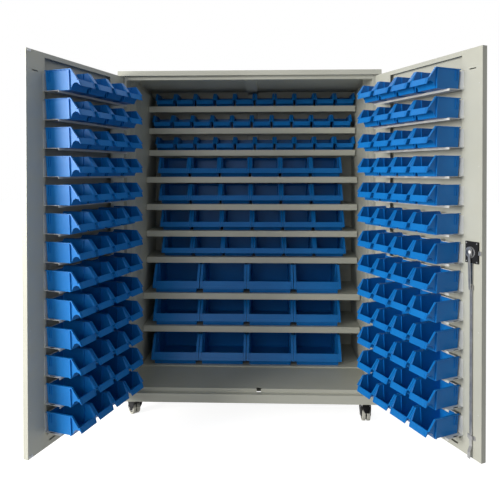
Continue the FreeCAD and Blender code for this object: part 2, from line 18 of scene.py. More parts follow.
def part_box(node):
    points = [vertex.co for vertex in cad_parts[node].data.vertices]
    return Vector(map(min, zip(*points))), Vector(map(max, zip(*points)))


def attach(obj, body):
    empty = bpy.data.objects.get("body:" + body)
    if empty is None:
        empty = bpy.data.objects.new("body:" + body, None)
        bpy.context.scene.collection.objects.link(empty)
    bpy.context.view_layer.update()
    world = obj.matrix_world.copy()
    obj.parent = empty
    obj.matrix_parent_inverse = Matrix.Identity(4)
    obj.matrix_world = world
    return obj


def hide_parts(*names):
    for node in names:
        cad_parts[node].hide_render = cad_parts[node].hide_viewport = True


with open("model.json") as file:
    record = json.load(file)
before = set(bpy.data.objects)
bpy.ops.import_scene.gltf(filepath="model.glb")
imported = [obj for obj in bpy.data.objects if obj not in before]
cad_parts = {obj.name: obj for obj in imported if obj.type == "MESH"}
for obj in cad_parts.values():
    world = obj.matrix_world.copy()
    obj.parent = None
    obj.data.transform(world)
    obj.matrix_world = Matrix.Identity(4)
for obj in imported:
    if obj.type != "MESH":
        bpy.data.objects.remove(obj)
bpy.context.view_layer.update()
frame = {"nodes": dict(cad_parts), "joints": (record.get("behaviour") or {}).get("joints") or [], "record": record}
nodes = frame["nodes"]
joints = {joint["name"]: joint for joint in frame["joints"]}

# %% [markdown]
# Every size below is a real millimetre size turned into Blender's metres by one factor. A
# finished piece is a mesh whose object stays at the origin, so its place is in its mesh. It
# rides on a body of the frame, and may stand in for the CAD node there.

# %% Turn a mesh into a piece
MM = 0.001
LEFT, RIGHT = -1, 1
side_name = {LEFT: "left", RIGHT: "right"}
CREASE, WHEEL_CREASE = 40, 35


def finish_piece(bm, name, materials, body, replaced=()):
    """Turn a bmesh into a piece that rides on a body."""
    mesh = bpy.data.meshes.new(name)
    bm.to_mesh(mesh)
    bm.free()
    for material in materials:
        mesh.materials.append(material)
    piece = bpy.data.objects.new(name, mesh)
    bpy.context.scene.collection.objects.link(piece)
    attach(piece, body)
    if replaced:
        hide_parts(*replaced)
    print(name, len(mesh.polygons), "faces, on", body)
    return piece


def smooth(piece, degrees):
    """Shade smooth, but keep edges sharper than the angle crisp."""
    for polygon in piece.data.polygons:
        polygon.use_smooth = True
    piece.data.set_sharp_from_angle(angle=math.radians(degrees))


# %% [markdown]
# Most parts here have one outline all the way across, as cut sheet and straight mouldings
# have. They could be boxes cut down with booleans, but a side outline drawn once as a face
# and extruded gives clean edges and few faces. Another helper stands a short cylinder or
# cone on a place, and Bevel softens the edges that a hand would feel.

# %% Helpers for slabs, discs and rounded edges
def slab(bm, outline, x0, x1):
    """Closed side outline, in y and z, drawn out from x0 to x1."""
    verts = [bm.verts.new((x0, y, z)) for y, z in outline]
    face = bm.faces.new(verts)
    made = bmesh.ops.extrude_face_region(bm, geom=[face])["geom"]
    far = [item for item in made if isinstance(item, bmesh.types.BMVert)]
    bmesh.ops.translate(bm, verts=far, vec=(x1 - x0, 0, 0))
    faces = list({face for vert in verts + far for face in vert.link_faces})
    bmesh.ops.recalc_face_normals(bm, faces=faces)
    return verts + far


def disc(bm, radius, height, matrix, segments=20, material=0, top=None):
    """Short cylinder standing on the matrix's XY plane, or a cone with its own top radius."""
    place = matrix @ Matrix.Translation((0, 0, height / 2))
    made = bmesh.ops.create_cone(bm, cap_ends=True, segments=segments, radius1=radius,
                                 radius2=radius if top is None else top, depth=height,
                                 matrix=place)
    for face in {face for vert in made["verts"] for face in vert.link_faces}:
        face.material_index = material


def round_edges(bm, edges, offset, segments=2):
    bmesh.ops.bevel(bm, geom=list(edges), offset=offset, segments=segments, affect="EDGES",
                    profile=0.5, material=-1)


def add_mesh(bm, part):
    """Pour one bmesh into another and free it."""
    mesh = bpy.data.meshes.new("part")
    part.to_mesh(mesh)
    part.free()
    bm.from_mesh(mesh)
    bpy.data.meshes.remove(mesh)


# %% [markdown]
# The photograph was taken from a little right of the middle, at eye height, with the lens
# level and the frame moved down to take in the casters. A shift does that without tilting
# the camera, so the cabinet's upright lines stay upright.

# %% Camera at the photograph's angle
SENSOR_WIDTH, LENS = 36.0, 36.45
SHIFT_X, SHIFT_Y = -0.005, -0.1465
FARTHEST = 60.0
EYE = (0.1103, -3.1664, 1.391)
TILT_DOWN, ROLL, TURN_LEFT = 0.010, 0.001, 0.032

camera_data = bpy.data.cameras.new("camera")
camera_data.sensor_width = SENSOR_WIDTH
camera_data.lens = LENS
camera_data.shift_x = SHIFT_X
camera_data.shift_y = SHIFT_Y
camera_data.clip_end = FARTHEST
camera = bpy.data.objects.new("camera", camera_data)
camera.location = EYE
camera.rotation_euler = (math.pi / 2 - TILT_DOWN, ROLL, TURN_LEFT)
bpy.context.scene.collection.objects.link(camera)
bpy.context.scene.camera = camera
print("camera", -EYE[1], "m in front,", EYE[2], "m up, lens", LENS, "mm")

# %% [markdown]
# Sheet steel cabinets are powder coated: the melted powder leaves a satin skin with a faint
# orange peel, and dust and handling tint it unevenly. Two noises in Object coordinates make
# this, one broad for the tint and one fine for the peel, so it stays put in every view.

# %% A finish with an uneven tint and a fine bump
TINT_DETAIL, BUMP_DETAIL = 4.0, 2.0
BUMP_STRENGTH = 0.6
TINT_LOW, TINT_HIGH = 0.3, 0.7


def noise(tree, coordinates, scale, detail):
    node = tree.nodes.new("ShaderNodeTexNoise")
    node.inputs["Scale"].default_value = scale
    node.inputs["Detail"].default_value = detail
    tree.links.new(coordinates, node.inputs["Vector"])
    return node.outputs["Fac"]


def tinted(tree, factor, dark, light):
    """Colour between the dark and the light tint, by a noise."""
    ramp = tree.nodes.new("ShaderNodeValToRGB")
    ramp.color_ramp.elements[0].position = TINT_LOW
    ramp.color_ramp.elements[0].color = (*dark, 1)
    ramp.color_ramp.elements[1].position = TINT_HIGH
    ramp.color_ramp.elements[1].color = (*light, 1)
    tree.links.new(factor, ramp.inputs["Fac"])
    return ramp.outputs["Color"]


def new_material(name, dark, light, roughness, metallic=0.0, tint_scale=2.5, bump_scale=900.0,
                 bump_depth=0.04 * MM, specular=0.5):
    """Principled surface whose tint and bump both read Object coordinates."""
    material = bpy.data.materials.new(name)
    material.use_nodes = True
    tree = material.node_tree
    shader = tree.nodes["Principled BSDF"]
    shader.inputs["Roughness"].default_value = roughness
    shader.inputs["Metallic"].default_value = metallic
    shader.inputs["Specular IOR Level"].default_value = specular
    place = tree.nodes.new("ShaderNodeTexCoord").outputs["Object"]
    colour = tinted(tree, noise(tree, place, tint_scale, TINT_DETAIL), dark, light)
    tree.links.new(colour, shader.inputs["Base Color"])
    bump = tree.nodes.new("ShaderNodeBump")
    bump.inputs["Distance"].default_value = bump_depth
    bump.inputs["Strength"].default_value = BUMP_STRENGTH
    tree.links.new(noise(tree, place, bump_scale, BUMP_DETAIL), bump.inputs["Height"])
    tree.links.new(bump.outputs["Normal"], shader.inputs["Normal"])
    return material


powder = new_material("cabinet_powder", dark=(0.50, 0.50, 0.425), light=(0.55, 0.55, 0.475),
                      roughness=0.42)
rail_white = new_material("rail_powder", dark=(0.60, 0.60, 0.56), light=(0.66, 0.66, 0.62),
                          roughness=0.40)
print("powder coats:", powder.name, "and", rail_white.name)

# %% [markdown]
# The bins are injection moulded polypropylene, a strong blue with a soft sheen. The fine
# spark-eroded grain of the mould is the bump. The pedal, the wheels' treads and the clips
# are duller plastics with a tint of a finer scale, because they are small.

# %% Finishes for plastics
bin_blue = new_material("bin_polypropylene", dark=(0.004, 0.160, 0.50),
                        light=(0.006, 0.190, 0.57), roughness=0.38, tint_scale=6.0,
                        bump_scale=1500.0, bump_depth=0.03 * MM, specular=0.28)
pedal_tan = new_material("pedal_plastic", dark=(0.50, 0.38, 0.22), light=(0.60, 0.47, 0.29),
                         roughness=0.45, tint_scale=30.0)
tread_grey = new_material("wheel_tread", dark=(0.52, 0.51, 0.44), light=(0.64, 0.63, 0.55),
                          roughness=0.55, tint_scale=45.0)
clip_white = new_material("clip_plastic", dark=(0.78, 0.78, 0.76), light=(0.84, 0.84, 0.82),
                          roughness=0.35, tint_scale=40.0)
print("plastics:", *(finish.name for finish in (bin_blue, pedal_tan, tread_grey, clip_white)))

# %% [markdown]
# The lock case and the caster forks are black with hardly a shine, so their specular level
# is low. Zinc and chrome are bare metals, which differ mostly in how rough they are. Every
# CAD node then gets the finish of the material slot that the record gives it.

# %% Finishes for black and bare metal, and the frame's nodes
black_coat = new_material("black_lacquer", dark=(0.010, 0.010, 0.011),
                          light=(0.016, 0.016, 0.017), roughness=0.55, tint_scale=20.0,
                          specular=0.16)
zinc = new_material("zinc_plate", dark=(0.34, 0.34, 0.34), light=(0.46, 0.46, 0.45),
                    roughness=0.42, metallic=1.0, tint_scale=35.0)
chrome = new_material("satin_chrome", dark=(0.62, 0.62, 0.63), light=(0.72, 0.72, 0.73),
                      roughness=0.22, metallic=1.0, tint_scale=40.0)
finish_of_slot = {"powder": powder, "rail": rail_white, "bin_plastic": bin_blue,
                  "black_steel": black_coat, "zinc": zinc, "handle": chrome,
                  "tread": tread_grey, "black_housing": black_coat, "pedal": pedal_tan}
slot_of_node = {part["node"]: part["material_slot"] for part in frame["record"]["subparts"]}
for node_name, node in nodes.items():
    node.data.materials.clear()
    node.data.materials.append(finish_of_slot[slot_of_node[node_name]])
print(len(nodes), "frame nodes finished in", len(finish_of_slot), "slots")

# %% [markdown]
# A door turns about its pivots. Pieces on it are placed as if it were shut, with u measured
# from the pivot line towards the free edge and n inwards from its inner face, and one
# matrix swings them to where the door stands. Each piece could be turned by hand instead,
# but then no size on the door would be a plain number any more.

# %% Places on the doors
DOOR_THICKNESS = 25 * MM
INNER_FACE = DOOR_THICKNESS / 2
door_low, door_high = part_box("door_left")
DOOR_BOTTOM, DOOR_TOP = door_low.z, door_high.z


def door_matrix(side):
    """Frame of a door where it stands, with its origin on the pivot line."""
    joint = joints[f"door_{side_name[side]}_swing"]
    opening = -math.radians(joint["range_deg"][0]) * side
    x, y, _ = joint["pos_m"]
    return Matrix.Translation((x, y, 0)) @ Matrix.Rotation(opening, 4, "Z")


def on_door(side, u, n, z):
    """Matrix of a place on a door, its Y axis pointing inwards."""
    return door_matrix(side) @ Matrix.Translation((-side * u, INNER_FACE + n, z))


print("doors stand at", [round(math.degrees(door_matrix(side).to_euler().z), 1)
                         for side in (LEFT, RIGHT)], "degrees")

# %% [markdown]
# The bins come in three sizes of one design. Each could be modelled on its own, but one
# recipe keeps them alike, and the sizes that follow from the given ones are worked out
# once. All three have a front that leans back from its foot, and a rim that slopes down to
# the lip. On the two larger ones the flange also frames the lip.

# %% Sizes of the bins
WALL = 2.2 * MM
RIM_SHARE, BROW_SHARE = 0.76, 0.95
FLANGE_EDGE_SHARE = 0.45
DRAW, DRAW_SHARE = 4 * MM, 0.012


class BinSize:
    """One size of bin: rear wall at y = 0, front towards -y, base on z = 0, middle on x = 0."""

    def __init__(self, width, depth, height, lip_top, lip_face, flange, foot_share, arch_rise,
                 framed):
        self.width, self.depth, self.height, self.framed = width, depth, height, framed
        self.lip_top, self.lip_face, self.lip_bottom = lip_top, lip_face, lip_top - lip_face
        self.crest = self.lip_bottom + arch_rise
        self.flange, self.edge = flange, flange * FLANGE_EDGE_SHARE
        self.half = width / 2
        self.body_half = self.half - flange
        self.rim, self.brow = depth * RIM_SHARE, depth * BROW_SHARE
        self.foot = depth * foot_share
        self.foot_in = DRAW + width * DRAW_SHARE

    def draw(self, z):
        """How far a side wall is drawn in at a height."""
        return (1 - z / self.height) * self.foot_in

    def on_front(self, share, back):
        """Place on the leaning front, by its share of the lip's face and how far behind it."""
        lean = (self.depth - self.brow) * share
        return -self.depth + lean + back, self.lip_bottom + self.lip_face * share


bin_sizes = {
    "small": BinSize(width=130 * MM, depth=188 * MM, height=90 * MM, lip_top=44 * MM,
                     lip_face=28 * MM, flange=7 * MM, foot_share=0.72, arch_rise=15 * MM,
                     framed=False),
    "medium": BinSize(width=197.5 * MM, depth=265 * MM, height=128 * MM, lip_top=56 * MM,
                      lip_face=31 * MM, flange=10 * MM, foot_share=0.80, arch_rise=10 * MM,
                      framed=True),
    "large": BinSize(width=294 * MM, depth=350 * MM, height=165 * MM, lip_top=71 * MM,
                     lip_face=43 * MM, flange=12 * MM, foot_share=0.94, arch_rise=6 * MM,
                     framed=True),
}
print("sides drawn in by", [round(size.foot_in / MM, 1) for size in bin_sizes.values()], "mm")

# %% [markdown]
# A bin is a tapered tray with a beak that arches up in front of its foot. A box could be
# cut and bent to it, but the beak is easier to draw from the side: the outline is extruded
# across, the sides are drawn in at the foot so that it leaves the mould, the mouth is
# opened and Solidify gives the wall.

# %% Mould a tray
REAR_LEAN = 3 * MM
REAR_SHARE = 0.87
RIM_START = 5 * MM
LIP_BACK = 2 * MM
REAR_ROUND_SHARE = 0.025
CREST_DROP = 3 * MM
SHARP = 1.0
MOUTH_TILT = 0.3


def bin_tray(bm, size):
    """Open tray, made in a bmesh of its own and poured into the bin's."""
    beak = size.depth - size.foot
    arch = ((0.77, size.crest - CREST_DROP), (0.5, size.crest), (0.25, size.crest * 0.8),
            (0.1, size.crest * 0.35))
    outline = [(-REAR_LEAN, 0), (0, size.height * REAR_SHARE), (-RIM_START, size.height),
               (-size.rim, size.height), (-size.brow + LIP_BACK, size.lip_top),
               (-size.depth + LIP_BACK, size.lip_bottom),
               *((-size.foot - beak * share, rise) for share, rise in arch), (-size.foot, 0)]
    tray = bmesh.new()
    slab(tray, outline, -size.body_half, size.body_half)
    for vert in tray.verts:
        vert.co.x *= 1 - size.draw(vert.co.z) / size.body_half
    mouth = [face for face in tray.faces if face.normal.z > MOUTH_TILT
             and face.calc_center_median().z > size.lip_top + 2 * MM]
    bmesh.ops.delete(tray, geom=mouth, context="FACES")
    rear = [edge for edge in tray.edges
            if not edge.is_boundary and edge.calc_face_angle(0) > SHARP
            and min(vert.co.y for vert in edge.verts) > -REAR_LEAN - 1 * MM]
    round_edges(tray, rear, size.depth * REAR_ROUND_SHARE, 1)
    bmesh.ops.solidify(tray, geom=tray.faces[:], thickness=WALL)
    add_mesh(bm, tray)


trial = bmesh.new()
bin_tray(trial, bin_sizes["small"])
print("a small tray alone has", len(trial.faces), "faces")
trial.free()

# %% [markdown]
# The rim flange and the ribs are slabs of their own, because the mould maker cuts them into
# the tool as plain pads too. A rib follows the wall's draw. There are 170 bins, so the faces
# of a rib that lie against the wall or under the flange are left out.

# %% Flange and ribs of a bin's sides
FRONT_RIB_BACK, FRONT_RIB_WIDE, FRONT_RIB_LOW, FRONT_RIB_SHARE = 8 * MM, 7 * MM, 0.5 * MM, 0.85
REAR_RIBS = (14 * MM, 24 * MM)
REAR_RIB_WIDE, REAR_RIB_RISE, REAR_RIB_SHARE = 5 * MM, 3.5 * MM, 0.45
INNER_RIB_SHARE, INNER_RIB_WIDE, INNER_RIB_RISE = 0.62, 3 * MM, 4.5 * MM
INNER_RIB_LOW, INNER_RIB_BELOW_RIM = 4 * MM, 2 * MM
LEVEL, NEAR = 0.9, 0.1 * MM


def bin_rib(bm, size, sign, start, wide, low, top, inner, outer):
    """Upright rib on one side, from the inner to the outer distance from the middle."""
    draw = size.draw(low)
    pad = slab(bm, [(-start, low), (-start - wide, low), (-start - wide, top), (-start, top)],
               sign * inner, sign * outer)
    for vert in pad:
        if abs(vert.co.z - low) < NEAR:
            vert.co.x -= sign * draw
    on_wall = max(inner, outer) - draw - 0.5 * MM
    hidden = [face for face in {face for vert in pad for face in vert.link_faces}
              if all(abs(vert.co.x) < on_wall for vert in face.verts)
              or face.normal.z > LEVEL]
    bmesh.ops.delete(bm, geom=hidden, context="FACES")


def bin_sides(bm, size):
    """Flange along each sloping rim, with three ribs below it and one inside the bin."""
    top = size.height - size.edge
    lower_end = [(-size.depth, size.lip_bottom), (-size.depth + size.edge, size.lip_bottom)]
    flange = [(-RIM_START, size.height), (-size.rim, size.height), (-size.brow, size.lip_top),
              *(lower_end if size.framed else []),
              (-size.brow + size.edge, size.lip_top - size.edge), (-size.rim + size.edge, top),
              (-REAR_LEAN, top)]
    wall = size.body_half - WALL / 2
    front = min(size.foot, size.rim) - FRONT_RIB_BACK
    for sign in (LEFT, RIGHT):
        slab(bm, flange, sign * (size.body_half - WALL), sign * size.half)
        bin_rib(bm, size, sign, front, FRONT_RIB_WIDE, FRONT_RIB_LOW, top, wall,
                size.body_half + size.flange * FRONT_RIB_SHARE)
        for start in REAR_RIBS:
            bin_rib(bm, size, sign, start, REAR_RIB_WIDE, size.height * REAR_RIB_SHARE, top,
                    wall, size.body_half + REAR_RIB_RISE)
        bin_rib(bm, size, sign, size.depth * INNER_RIB_SHARE, INNER_RIB_WIDE, INNER_RIB_LOW,
                size.height - INNER_RIB_BELOW_RIM, size.body_half - WALL - INNER_RIB_RISE, wall)


trial = bmesh.new()
bin_sides(trial, bin_sizes["small"])
print("a small bin's flanges and ribs have", len(trial.faces), "faces")
trial.free()

# %% [markdown]
# The bin's front has a raised plate for a label, with an upright slot near each end.
# Cutting slots would take a boolean, so the plate is three slabs side by side with a gap
# for each slot. On the framed bins it starts higher and a band closes the frame below it.

# %% Label plate, and the three bins
PLATE_TOP, PLATE_FOOT, PLATE_FOOT_FRAMED = 0.94, 0.04, 0.3
PLATE_FRONT, PLATE_BACK = 0.8 * MM, 3 * MM
PLATE_MARGIN, SLOT_INSET, SLOT_WIDE = 3 * MM, 9 * MM, 4 * MM
BAND_TOP, BAND_BACK = 0.28, 2.5 * MM
PLATE_DRAW_SHARE = 0.6


def front_slab(bm, size, low, high, front, back, x0, x1):
    """Pad on the leaning front, between two shares of the lip's face."""
    corners = ((low, front), (high, front), (high, back), (low, back))
    slab(bm, [size.on_front(share, behind) for share, behind in corners], x0, x1)


def label_plate(bm, size):
    front_half = size.body_half
    foot = PLATE_FOOT
    if size.framed:
        foot = PLATE_FOOT_FRAMED
        front_slab(bm, size, 0, BAND_TOP, 0, BAND_BACK, -front_half, front_half)
    else:
        front_half -= size.foot_in * PLATE_DRAW_SHARE
    plate_half = front_half - PLATE_MARGIN
    slot = plate_half - SLOT_INSET
    for x0, x1 in ((-plate_half, -slot - SLOT_WIDE), (-slot, slot), (slot + SLOT_WIDE, plate_half)):
        front_slab(bm, size, foot, PLATE_TOP, PLATE_FRONT, PLATE_BACK, x0, x1)


def bin_mesh(name, size):
    bm = bmesh.new()
    bin_tray(bm, size)
    bin_sides(bm, size)
    label_plate(bm, size)
    mesh = bpy.data.meshes.new(f"bin_{name}")
    bm.to_mesh(mesh)
    bm.free()
    print(mesh.name, len(mesh.polygons), "faces")
    return mesh


bin_shapes = {name: bin_mesh(name, size) for name, size in bin_sizes.items()}

# %% [markdown]
# Nobody lines up a hundred and seventy bins to the millimetre. Each bin gets a small turn
# and shift of its own from a seeded random number, so that the rows look used but come out
# the same on every run.

# %% Put the bins on the shelves
BIN_PITCH = {"small": 132.3 * MM, "medium": 199 * MM, "large": 297 * MM}
SHELF_WOBBLE, HUNG_WOBBLE = 0.004, 0.002
MOST_SHIFT = 1.0 * MM
row_kinds = ["small"] * 3 + ["medium"] * 4 + ["large"] * 3
chance = random.Random(7)


def fill(name, shape, places, node_name, wobble):
    """One piece with a copy of a bin at each place, in place of the plain bins there."""
    bm = bmesh.new()
    for place in places:
        turn = Matrix.Rotation(chance.uniform(-wobble, wobble), 4, "Z")
        shift = Matrix.Translation((0, chance.uniform(0, MOST_SHIFT), 0))
        copy = shape.copy()
        copy.transform(place @ shift @ turn)
        bm.from_mesh(copy)
        bpy.data.meshes.remove(copy)
    finish_piece(bm, name, [bin_blue], node_name, [node_name])


for number, kind in enumerate(row_kinds, 1):
    node_name = f"bins_row_{number:02d}"
    low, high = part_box(node_name)
    width, pitch = bin_sizes[kind].width, BIN_PITCH[kind]
    count = round((high.x - low.x - width) / pitch) + 1
    places = [Matrix.Translation((low.x + width / 2 + pitch * place, high.y, low.z))
              for place in range(count)]
    fill(f"shelf_bins_{number:02d}", bin_shapes[kind], places, node_name, SHELF_WOBBLE)

# %% [markdown]
# The door bins are the small ones again. They hang by a lip behind the rear wall, hooked
# over the upright of each rail, and stand on its ledge. The lip is one more slab.

# %% A small bin with its hanging lip
HOOK_HALF, HOOK_REACH, HOOK_DROP, HOOK_THICK = 25 * MM, 5 * MM, 7 * MM, 3 * MM
small = bin_sizes["small"]
hook_top = small.height * REAR_SHARE
hooked = bmesh.new()
hooked.from_mesh(bin_shapes["small"])
slab(hooked, [(-WALL, hook_top), (-WALL, hook_top - HOOK_THICK),
              (HOOK_REACH, hook_top - HOOK_DROP - HOOK_THICK), (HOOK_REACH, hook_top - HOOK_DROP)],
     -HOOK_HALF, HOOK_HALF)
bin_hooked = bpy.data.meshes.new("bin_hooked")
hooked.to_mesh(bin_hooked)
hooked.free()
print(bin_hooked.name, len(bin_hooked.polygons), "faces")

# %% [markdown]
# Each door carries four columns of bins on thirteen rails. The places are counted down from
# the highest rim, and a half turn faces each bin away from the door.

# %% Hang the bins on the doors
RAIL_COUNT, RAIL_PITCH = 13, 126 * MM
COLUMN_COUNT = 4
BIN_OFF_DOOR = 2 * MM
FIRST_RIM = DOOR_TOP - 80 * MM
bins_start = {LEFT: 84 * MM, RIGHT: 73 * MM}
ledges = [FIRST_RIM - RAIL_PITCH * row - small.height for row in range(RAIL_COUNT)]
half_turn = Matrix.Rotation(math.pi, 4, "Z")

for side in (LEFT, RIGHT):
    for column in range(COLUMN_COUNT):
        column_name = f"{side_name[side]}_{column + 1}"
        u = bins_start[side] + BIN_PITCH["small"] * column + small.width / 2
        places = [on_door(side, u, BIN_OFF_DOOR, ledge) @ half_turn for ledge in ledges]
        fill(f"hung_bins_{column_name}", bin_hooked, places, f"door_bins_{column_name}",
             HUNG_WOBBLE)

# %% [markdown]
# The casters are a bought part: a black moulded fork with a turned crown, and a wheel of
# two pale treads with a dark gap between. Each is made in the caster's own frame, with the
# kingpin at the origin and the wheel towards -y, and a matrix from the joints sets it down
# at the angle where that caster was left.

# %% Places and sizes of the casters
WHEEL_RADIUS, WHEEL_HALF = 36 * MM, 22.5 * MM
TRAIL = 25 * MM
FORK_HALF, FORK_TOP, CHEEK = 27.5 * MM, 93.7 * MM, 3 * MM
CROWN_HEIGHT = 12 * MM


def axle_turn(wheel):
    """Turn about the upright that brings X onto a wheel's axle."""
    axle = joints[f"{wheel}_roll"]["axis"]
    return Matrix.Rotation(math.atan2(axle[1], axle[0]), 4, "Z")


def caster_matrix(side):
    """Frame of a front caster, turned as its wheel's axle is."""
    x, y, _ = joints[f"swivel_{side_name[side]}"]["pos_m"]
    return Matrix.Translation((x, y, 0)) @ axle_turn(f"caster_wheel_front_{side_name[side]}")


print("casters stand at", [round(math.degrees(caster_matrix(side).to_euler().z))
                           for side in (LEFT, RIGHT)], "degrees")

# %% [markdown]
# A cylinder would lack the gap between the treads and the dish of the web. A wheel is
# turned work, so closed profiles of radius and place along the axle are spun round it: a
# dark core, two treads, and a bright ring on each face. A full spin closes on itself, and
# its normals are made to point outwards.

# %% Turn the wheels
BORE, BOSS, DISH, CORE = 4.2 * MM, 12 * MM, 24 * MM, 26 * MM
BOSS_IN, DISH_IN, CORE_IN = 3 * MM, 6 * MM, 2 * MM
TREAD_INNER, TREAD_SIDE = 25 * MM, 28 * MM
HALF_GAP = 3.5 * MM
RING_IN, RING_FOOT = 3 * MM, 6.5 * MM
CORE_STEPS, TREAD_STEPS = 40, 48


def spun(profile, segments, material=0):
    """Closed profile of (radius, x) points spun round the X axis, as its own bmesh."""
    bm = bmesh.new()
    verts = [bm.verts.new((x, 0, radius)) for radius, x in profile]
    edges = [bm.edges.new(pair) for pair in zip(verts, verts[1:] + verts[:1])]
    bmesh.ops.spin(bm, geom=verts + edges, cent=(0, 0, 0), axis=(1, 0, 0), angle=2 * math.pi,
                   steps=segments, use_merge=True)
    bmesh.ops.recalc_face_normals(bm, faces=bm.faces[:])
    for face in bm.faces:
        face.material_index = material
    return bm


def core_profile():
    """Hub and web: a boss round the bore, a dish, and the rim that carries the treads."""
    near = [(BORE, -WHEEL_HALF + BOSS_IN), (BOSS, -WHEEL_HALF + BOSS_IN),
            (BOSS + 1 * MM, -WHEEL_HALF + DISH_IN), (DISH, -WHEEL_HALF + DISH_IN),
            (CORE, -WHEEL_HALF + CORE_IN)]
    return near + [(radius, -x) for radius, x in reversed(near)]


def tread_profile(sign):
    """One of the two treads, between its outer face and the gap."""
    outer, inner = sign * WHEEL_HALF, sign * HALF_GAP
    return [(TREAD_INNER, outer - sign * 1.5 * MM), (TREAD_SIDE, outer),
            (WHEEL_RADIUS - 3.5 * MM, outer), (WHEEL_RADIUS - 1 * MM, outer - sign * 1.5 * MM),
            (WHEEL_RADIUS, outer - sign * 4.5 * MM), (WHEEL_RADIUS, inner + sign * 2 * MM),
            (WHEEL_RADIUS - 2 * MM, inner), (TREAD_INNER, inner)]


def ring_profile(sign):
    """Bright ring that stands up from the dish."""
    foot, crown = sign * (WHEEL_HALF - RING_FOOT), sign * (WHEEL_HALF - RING_IN)
    return [(16 * MM, foot), (16.5 * MM, crown), (21 * MM, crown), (21.5 * MM, foot)]


for end in ("front", "rear"):
    for side in (LEFT, RIGHT):
        name = f"caster_wheel_{end}_{side_name[side]}"
        low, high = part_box(name)
        bm = bmesh.new()
        add_mesh(bm, spun(core_profile(), CORE_STEPS, material=1))
        for sign in (LEFT, RIGHT):
            add_mesh(bm, spun(tread_profile(sign), TREAD_STEPS))
            add_mesh(bm, spun(ring_profile(sign), CORE_STEPS, material=2))
        place = Matrix.Translation((low + high) / 2) @ axle_turn(name)
        bmesh.ops.transform(bm, matrix=place, verts=bm.verts[:])
        smooth(finish_piece(bm, f"turned_{name}", [tread_grey, black_coat, zinc], name, [name]), WHEEL_CREASE)

# %% [markdown]
# The fork's hood starts as one side outline extruded across. Its underside and nose are
# opened, the long upper edges are rounded and Solidify gives the moulded wall. Two ears
# carry the pedal's pin, and the crown turns under the fixed plate.

# %% Mould the forks
PEDAL_PIN = (-44.2 * MM, 86.5 * MM)
PIN_RADIUS, PIN_OVERHANG = 2.9 * MM, 1 * MM
NUT_RADIUS, NUT_RISE = 7 * MM, 3.5 * MM
HOOD_BACK, HOOD_FRONT, NOSE = 27 * MM, -35 * MM, -52 * MM
HOOD_ROUND, EAR_ROUND = 5 * MM, 1.2 * MM
UNDERSIDE, NOSE_FACE = -0.1, -0.5
CROWN_RADIUS, CROWN_BELOW = 21.8 * MM, 3 * MM
RACE_RADIUS, RACE_ABOVE = 18 * MM, 0.3 * MM
CROWN_SINK = 0.5 * MM
CROWN_STEPS = 40
hood = [(HOOD_BACK, FORK_TOP), (HOOD_BACK, 74 * MM), (14 * MM, 54 * MM), (-8 * MM, 28 * MM),
        (-40 * MM, 28 * MM), (-49 * MM, 42 * MM), (HOOD_FRONT, 80 * MM), (HOOD_FRONT, FORK_TOP)]
ear = [(-32 * MM, FORK_TOP - 4 * MM), (-46 * MM, FORK_TOP), (NOSE, FORK_TOP - 7 * MM),
       (NOSE, 66 * MM), (-46 * MM, 48 * MM), (-34 * MM, 66 * MM)]


def fork_hood(bm):
    slab(bm, hood, -FORK_HALF, FORK_HALF)
    open_faces = [face for face in bm.faces
                  if face.normal.z < UNDERSIDE or face.normal.y < NOSE_FACE]
    bmesh.ops.delete(bm, geom=open_faces, context="FACES")
    long_edges = [edge for edge in bm.edges
                  if not edge.is_boundary and edge.calc_face_angle(0) > SHARP]
    round_edges(bm, long_edges, HOOD_ROUND, 3)
    bmesh.ops.solidify(bm, geom=bm.faces[:], thickness=CHEEK)


def fork_side(bm, sign):
    """Ear for the pedal's pin and the nut on the axle's end."""
    verts = slab(bm, ear, sign * (FORK_HALF - CHEEK), sign * FORK_HALF)
    outer = {edge for vert in verts for edge in vert.link_edges
             if all(abs(abs(end.co.x) - FORK_HALF) < NEAR for end in edge.verts)}
    round_edges(bm, outer, EAR_ROUND, 1)
    axle_end = (Matrix.Translation((sign * FORK_HALF, -TRAIL, WHEEL_RADIUS))
                @ Matrix.Rotation(sign * math.pi / 2, 4, "Y"))
    disc(bm, NUT_RADIUS, NUT_RISE, axle_end, segments=6, material=1)


def fork_piece(side):
    bm = bmesh.new()
    fork_hood(bm)
    for sign in (LEFT, RIGHT):
        fork_side(bm, sign)
    pin = (Matrix.Translation((-FORK_HALF - PIN_OVERHANG, *PEDAL_PIN))
           @ Matrix.Rotation(math.pi / 2, 4, "Y"))
    disc(bm, PIN_RADIUS, FORK_HALF * 2 + PIN_OVERHANG * 2, pin, segments=16, material=1)
    crown = Matrix.Translation((0, 0, FORK_TOP - CROWN_SINK))
    disc(bm, CROWN_RADIUS, CROWN_HEIGHT - CROWN_BELOW, crown, segments=CROWN_STEPS)
    disc(bm, RACE_RADIUS, CROWN_HEIGHT + RACE_ABOVE, crown, segments=CROWN_STEPS, material=1)
    bmesh.ops.transform(bm, matrix=caster_matrix(side), verts=bm.verts[:])
    name = f"caster_fork_{side_name[side]}"
    smooth(finish_piece(bm, f"moulded_{name}", [black_coat, zinc], name, [name]), CREASE)


trial = bmesh.new()
fork_hood(trial)
print("a fork's hood alone has", len(trial.faces), "faces")
trial.free()

# %% [markdown]
# The brake is a foot pedal on each front fork: a curved tongue that narrows towards its tip
# and turns on the pin. The left one is tan and the right one black. A bent curve could make
# it too, but its thickness changes, so its outline is extruded, the tip is drawn in by
# moving vertices, and every edge gets a small round.

